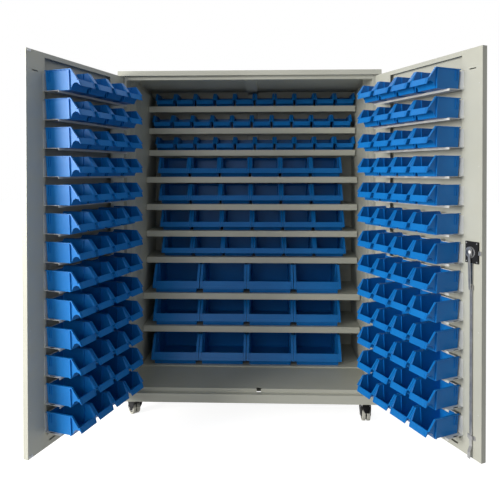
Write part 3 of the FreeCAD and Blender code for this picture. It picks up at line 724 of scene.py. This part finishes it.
# %% Shape the brake pedals, and set down both casters
PEDAL_HALF, PEDAL_ROUND = 19 * MM, 1.4 * MM
TAPER_START, TAPER_LENGTH = 60 * MM, 70 * MM
pedal_upper = [(-40, 92), (-49, 91), (-58, 83), (-68, 74), (-78, 69), (-87, 69)]
pedal_lower = [(-88, 65), (-78, 64.5), (-66, 69), (-56, 77), (-49, 82), (-39, 82)]

def pedal_piece(side, finish):
    bm = bmesh.new()
    tongue = slab(bm, [(y * MM, z * MM) for y, z in pedal_upper + pedal_lower],
                  -PEDAL_HALF, PEDAL_HALF)
    for vert in tongue:
        vert.co.x *= 1 - max(0.0, -vert.co.y - TAPER_START) / TAPER_LENGTH
    round_edges(bm, bm.edges[:], PEDAL_ROUND, 2)
    bmesh.ops.transform(bm, matrix=caster_matrix(side), verts=bm.verts[:])
    name = f"brake_pedal_{side_name[side]}"
    smooth(finish_piece(bm, f"curved_{name}", [finish], name, [name]), CREASE)


for side, finish in ((LEFT, pedal_tan), (RIGHT, black_coat)):
    fork_piece(side)
    pedal_piece(side, finish)

# %% [markdown]
# Rivets show how the sheets are held together: one at each end of every rail, and five
# small ones along the door's free edge. Round heads would cost many faces for two pixels
# each, so they are low cones, and all that sit on one body are joined into one piece.

# %% Rivets on the doors
RIVET_RADIUS, RIVET_RISE, RIVET_TOP_SHARE = 3.2 * MM, 1.4 * MM, 0.55
EDGE_RIVET_RADIUS, EDGE_RIVET_RISE, EDGE_RIVET_U = 2.6 * MM, 1.0 * MM, 694 * MM
RAIL_START, RAIL_END, RAIL_FACE = 86 * MM, 612 * MM, 1.5 * MM
RAIL_RIVETS = (RAIL_START + 8 * MM, RAIL_END - 5 * MM)
RIVET_BELOW_RIM = 78 * MM
EDGE_RIVET_SHARES, EDGE_RIVET_RAISE = (0.1, 0.3, 0.5, 0.7, 0.9), 21 * MM
facing_in = Matrix.Rotation(-math.pi / 2, 4, "X")


def rivet(bm, place, radius, rise):
    disc(bm, radius, rise, place @ facing_in, segments=12, top=radius * RIVET_TOP_SHARE)


for side in (LEFT, RIGHT):
    bm = bmesh.new()
    for ledge in ledges:
        for u in RAIL_RIVETS:
            place = on_door(side, u, RAIL_FACE, ledge + small.height - RIVET_BELOW_RIM)
            rivet(bm, place, RIVET_RADIUS, RIVET_RISE)
    for share in EDGE_RIVET_SHARES:
        z = DOOR_BOTTOM + (DOOR_TOP - DOOR_BOTTOM) * share + EDGE_RIVET_RAISE
        rivet(bm, on_door(side, EDGE_RIVET_U, 0, z), EDGE_RIVET_RADIUS, EDGE_RIVET_RISE)
    finish_piece(bm, f"rivets_{side_name[side]}", [rail_white], f"door_{side_name[side]}")

# %% [markdown]
# Each rail has a punched slot in its ledge beside the outermost bin. The slot could be cut
# in CAD, but from the front it is only a dark oval, dark from the shade inside it. So the hole
# is not cut: a thin black disc on the ledge, squeezed along the rail, is painted shade.

# %% Painted shade of the slots at the rails' free ends
SLOT_U, SLOT_N = RAIL_END - 5.5 * MM, 38 * MM
SLOT_RADIUS, SLOT_RISE, SLOT_SQUEEZE = 14 * MM, 0.5 * MM, 0.24
squeeze = Matrix.Diagonal((SLOT_SQUEEZE, 1, 1, 1))

# The black disc is painted shade: it stands for the dark inside of each punched slot.
for side in (LEFT, RIGHT):
    bm = bmesh.new()
    for ledge in ledges:
        disc(bm, SLOT_RADIUS, SLOT_RISE, on_door(side, SLOT_U, SLOT_N, ledge) @ squeeze)
    finish_piece(bm, f"rail_slot_shade_{side_name[side]}", [black_coat], f"door_{side_name[side]}")

# %% [markdown]
# The lock shows as a black plate with a turned hub in a bright ring, and a screw head near
# each corner, made as a rivet is. The ring stays with the door and the hub turns with the
# handle, so they are two pieces, both spun like the wheels.

# %% Ring, screws and hub of the lock
SPINDLE_U, SPINDLE_Z = 657 * MM, 1046 * MM
CASE_RISE, HUB_SEAT = 9 * MM, 15.3 * MM
CASE_SCREWS = [(u, z) for u in (636 * MM, 691 * MM) for z in (1007 * MM, 1085 * MM)]
SCREW_RADIUS, SCREW_RISE = 3.4 * MM, 1.6 * MM
RING_STEPS, HUB_STEPS = 40, 32
ring_section = [(20 * MM, 0), (21 * MM, 2.4 * MM), (24 * MM, 2.4 * MM), (25 * MM, 0)]
hub_section = [(0.5 * MM, 0), (12 * MM, 0), (12 * MM, 3.5 * MM), (9 * MM, 6 * MM),
               (0.5 * MM, 6.5 * MM)]


def on_spindle(section, segments, n):
    """Turned part on the spindle's line, so far in from the door's inner face."""
    turned = spun(section, segments)
    facing = on_door(RIGHT, SPINDLE_U, n, SPINDLE_Z) @ Matrix.Rotation(math.pi / 2, 4, "Z")
    bmesh.ops.transform(turned, matrix=facing, verts=turned.verts[:])
    return turned


bm = bmesh.new()
for u, z in CASE_SCREWS:
    rivet(bm, on_door(RIGHT, u, CASE_RISE, z), SCREW_RADIUS, SCREW_RISE)
add_mesh(bm, on_spindle(ring_section, RING_STEPS, CASE_RISE))
smooth(finish_piece(bm, "lock_ring", [zinc], "door_right"), CREASE)
hub = on_spindle(hub_section, HUB_STEPS, HUB_SEAT)
smooth(finish_piece(hub, "lock_hub", [zinc], "handle"), CREASE)

# %% [markdown]
# A strap comes down from the hub over the lock's plate, and two studs hold the rod below to
# it, so it slides with the rod when the handle turns. A slab laid out in n and z lets it
# slope down towards the rod as one straight piece.

# %% Strap and studs of the rod
ROD_U, STRAP_HALF, STRAP_ROUND = 659 * MM, 6 * MM, 0.5 * MM
STRAP_TOP, STRAP_FOOT = 1050 * MM, 886 * MM
STUD_RADIUS, STUD_TOP, STUD_LENGTH, STUD_N = 5 * MM, 4.2 * MM, 9.5 * MM, 6.5 * MM
STUD_HEIGHTS = (893 * MM, 906 * MM)
strap = [(20 * MM, STRAP_TOP), (14.5 * MM, STRAP_FOOT), (12 * MM, STRAP_FOOT),
         (17.5 * MM, STRAP_TOP)]


def door_slab(bm, side, outline, u0, u1):
    """Side outline in n and z on a door, drawn out between two places along it."""
    verts = slab(bm, outline, -side * u0, -side * u1)
    bmesh.ops.transform(bm, matrix=on_door(side, 0, 0, 0), verts=verts)


bm = bmesh.new()
door_slab(bm, RIGHT, strap, ROD_U - STRAP_HALF, ROD_U + STRAP_HALF)
round_edges(bm, bm.edges[:], STRAP_ROUND, 1)
for z in STUD_HEIGHTS:
    disc(bm, STUD_RADIUS, STUD_LENGTH, on_door(RIGHT, ROD_U, STUD_N, z) @ facing_in,
         segments=16, top=STUD_TOP)
finish_piece(bm, "rod_strap", [zinc], "rod_lower")

# %% [markdown]
# Two small white clips sit near the free end of the left door, one at its foot and one at
# its head. Each is a low slab with sloping ends, drawn out along the door.

# %% End clips of the left door
CLIP_START, CLIP_END, CLIP_HEIGHT = 684 * MM, 707 * MM, 12 * MM
CLIP_RISE, CLIP_SLOPE, CLIP_MARGIN = 3 * MM, 1.5 * MM, 1 * MM

bm = bmesh.new()
for low in (DOOR_BOTTOM + CLIP_MARGIN, DOOR_TOP - CLIP_MARGIN - CLIP_HEIGHT):
    door_slab(bm, LEFT, [(0, low), (CLIP_RISE, low + CLIP_SLOPE),
                         (CLIP_RISE, low + CLIP_HEIGHT - CLIP_SLOPE), (0, low + CLIP_HEIGHT)],
              CLIP_START, CLIP_END)
finish_piece(bm, "end_clips", [clip_white], "door_left")

# %% [markdown]
# The cabinet stands on a seamless pale floor. Its matt grey takes the shadow, and an
# emission that only the camera and reflections see lifts it to white, so the whiteness adds
# no light to the object.

# %% Pale floor
FLOOR_HALF = 20
FLOOR_GREY = (0.50, 0.50, 0.50, 1)
FLOOR_ROUGHNESS, FLOOR_LIFT = 0.9, 0.88
floor_mesh = bmesh.new()
bmesh.ops.create_grid(floor_mesh, x_segments=1, y_segments=1, size=FLOOR_HALF)
mesh = bpy.data.meshes.new("floor")
floor_mesh.to_mesh(mesh)
floor_mesh.free()
floor = bpy.data.objects.new("floor", mesh)
bpy.context.scene.collection.objects.link(floor)


def seen_rays(tree):
    """1 for rays that the camera, a gloss or a glass sends out, and 0 for the rest."""
    path = tree.nodes.new("ShaderNodeLightPath")
    total = path.outputs["Is Camera Ray"]
    for kind in ("Is Glossy Ray", "Is Transmission Ray"):
        most = tree.nodes.new("ShaderNodeMath")
        most.operation = "MAXIMUM"
        tree.links.new(total, most.inputs[0])
        tree.links.new(path.outputs[kind], most.inputs[1])
        total = most.outputs[0]
    return total


floor_finish = bpy.data.materials.new("floor_white")
floor_finish.use_nodes = True
tree = floor_finish.node_tree
matt = tree.nodes["Principled BSDF"]
matt.inputs["Base Color"].default_value = FLOOR_GREY
matt.inputs["Roughness"].default_value = FLOOR_ROUGHNESS
matt.inputs["Specular IOR Level"].default_value = 0.0
lift = tree.nodes.new("ShaderNodeEmission")
strength = tree.nodes.new("ShaderNodeMath")
strength.operation = "MULTIPLY"
strength.inputs[1].default_value = FLOOR_LIFT
tree.links.new(seen_rays(tree), strength.inputs[0])
tree.links.new(strength.outputs[0], lift.inputs["Strength"])
both = tree.nodes.new("ShaderNodeAddShader")
tree.links.new(matt.outputs[0], both.inputs[0])
tree.links.new(lift.outputs[0], both.inputs[1])
tree.links.new(both.outputs[0], tree.nodes["Material Output"].inputs["Surface"])
mesh.materials.append(floor_finish)
print("floor", 2 * FLOOR_HALF, "m wide")

# %% [markdown]
# The surround works the same way: white to the camera and in reflections, and a weak cool
# light to everything else, which fills the shade inside the cabinet.

# %% White surround
SURROUND_COLOUR, SURROUND_STRENGTH = (0.93, 0.96, 1, 1), 0.28
world = bpy.data.worlds.new("surround")
bpy.context.scene.world = world
world.use_nodes = True
tree = world.node_tree
background = tree.nodes["Background"]
background.inputs["Color"].default_value = SURROUND_COLOUR
background.inputs["Strength"].default_value = SURROUND_STRENGTH
white = tree.nodes.new("ShaderNodeBackground")
white.inputs["Color"].default_value = (1, 1, 1, 1)
white.inputs["Strength"].default_value = 1.0
mix = tree.nodes.new("ShaderNodeMixShader")
tree.links.new(seen_rays(tree), mix.inputs["Fac"])
tree.links.new(background.outputs[0], mix.inputs[1])
tree.links.new(white.outputs[0], mix.inputs[2])
tree.links.new(mix.outputs[0], tree.nodes["World Output"].inputs["Surface"])
print("surround lights at", SURROUND_STRENGTH)

# %% [markdown]
# The key light is a large soft panel to the left, which lights the inner side of the right
# door and leaves the left door's inner side in shade, as in the photograph. A weak panel
# nearer the camera lifts the front edges, and one above the back lights the roof.

# %% Lights
def panel(name, place, target, size, power, colour=(1, 1, 1)):
    """Soft rectangular light at a place, turned to face a target."""
    data = bpy.data.lights.new(name, "AREA")
    data.shape = "RECTANGLE"
    data.size, data.size_y = size
    data.energy = power
    data.color = colour
    light = bpy.data.objects.new(name, data)
    light.location = place
    light.rotation_euler = (Vector(target) - Vector(place)).to_track_quat("-Z", "Y").to_euler()
    bpy.context.scene.collection.objects.link(light)
    print(name, "light", power, "W")


panel("key", place=(-4.1, -3.2, 1.9), target=(0.7, -0.5, 1.0), size=(2.2, 2.2), power=268,
      colour=(1.0, 0.98, 0.94))
panel("fill", place=(-1.2, -4.8, 2.2), target=(0.1, 0.0, 1.1), size=(2.4, 1.6), power=22)
panel("overhead", place=(0.0, 0.5, 4.2), target=(0.0, 0.1, 1.9), size=(2.4, 1.6), power=26)
bpy.context.scene.view_settings.view_transform = "Standard"
